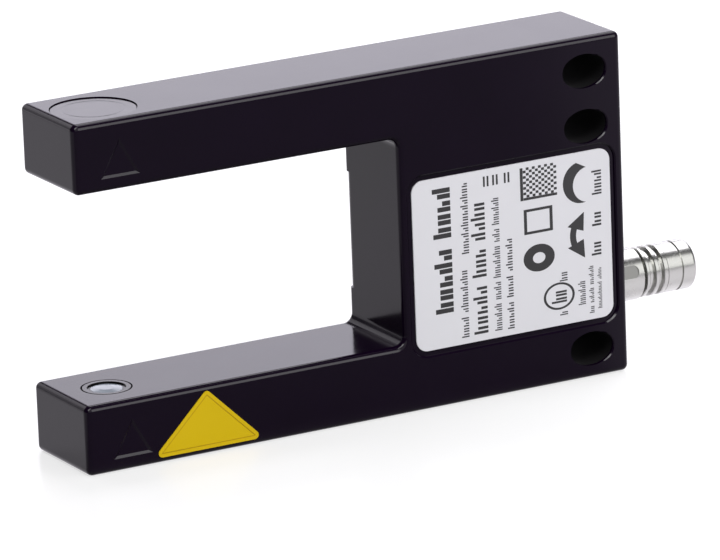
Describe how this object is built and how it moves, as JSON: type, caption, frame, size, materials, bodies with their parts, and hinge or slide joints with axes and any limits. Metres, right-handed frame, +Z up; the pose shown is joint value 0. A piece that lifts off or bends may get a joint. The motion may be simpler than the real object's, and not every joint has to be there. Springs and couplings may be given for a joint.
{
  "type": "fork sensor",
  "caption": "U-shaped laser fork sensor with a light beam between its arms, mounting slots, rear adjusters and a round plug connector.",
  "frame": {"origin": "centre of the bottom face of the fork body", "axes": "+X from the arm tips to the plug connector, +Y from the label side to the back cover, +Z up"},
  "size_m": [0.1015, 0.0161, 0.05],
  "materials": {
    "black_paint": "gloss black paint over the casting",
    "cap_black": "smooth satin black",
    "ring_black": "turned, blackened",
    "lens_glass": "clear polished",
    "filter_glass": "dark red polished",
    "nickel": "turned and nickel plated",
    "gold": "gold plated",
    "insert_black": "moulded",
    "board_green": "solder mask",
    "chip_black": "moulded",
    "lead_grey": "extruded jacket",
    "trimmer_blue": "moulded",
    "adjuster_white": "moulded",
    "seal_rubber": "moulded",
    "led_amber": "clear moulded",
    "label_white": "printed film",
    "sticker_yellow": "printed film"
  },
  "bodies": {
    "body": {"housing": "black_paint", "back_cover": "black_paint", "receiver_cap": "cap_black", "emitter_cap": "cap_black", "emitter_ring": "ring_black", "emitter_lens": "lens_glass", "laser_diode": "gold", "emitter_board": "board_green", "emitter_lead": "lead_grey", "receiver_ring": "ring_black", "receiver_lens": "filter_glass", "photodiode": "chip_black", "receiver_board": "board_green", "receiver_lead": "lead_grey", "main_board": "board_green", "controller_chip": "chip_black", "sensitivity_trimmer": "trimmer_blue", "mode_switch": "insert_black", "status_led": "led_amber", "connector_shell": "nickel", "connector_insert": "insert_black", "contact_pins": "gold", "connector_leads": "lead_grey", "connector_seal": "seal_rubber", "label": "label_white", "arm_sticker": "sticker_yellow"},
    "sensitivity_adjuster": {"sensitivity_screw": "adjuster_white", "sensitivity_seal": "seal_rubber"},
    "mode_selector": {"mode_screw": "adjuster_white", "mode_seal": "seal_rubber"}
  },
  "joints": [
    {"name": "sensitivity_turn", "type": "hinge", "parent": "body", "child": "sensitivity_adjuster", "pos_m": [0.0426, 0, 0.03], "axis": [1, 0, 0], "range_deg": [-135, 135]},
    {"name": "mode_turn", "type": "hinge", "parent": "body", "child": "mode_selector", "pos_m": [0.0426, 0, 0.021], "axis": [1, 0, 0], "range_deg": [-45, 45]}
  ]
}
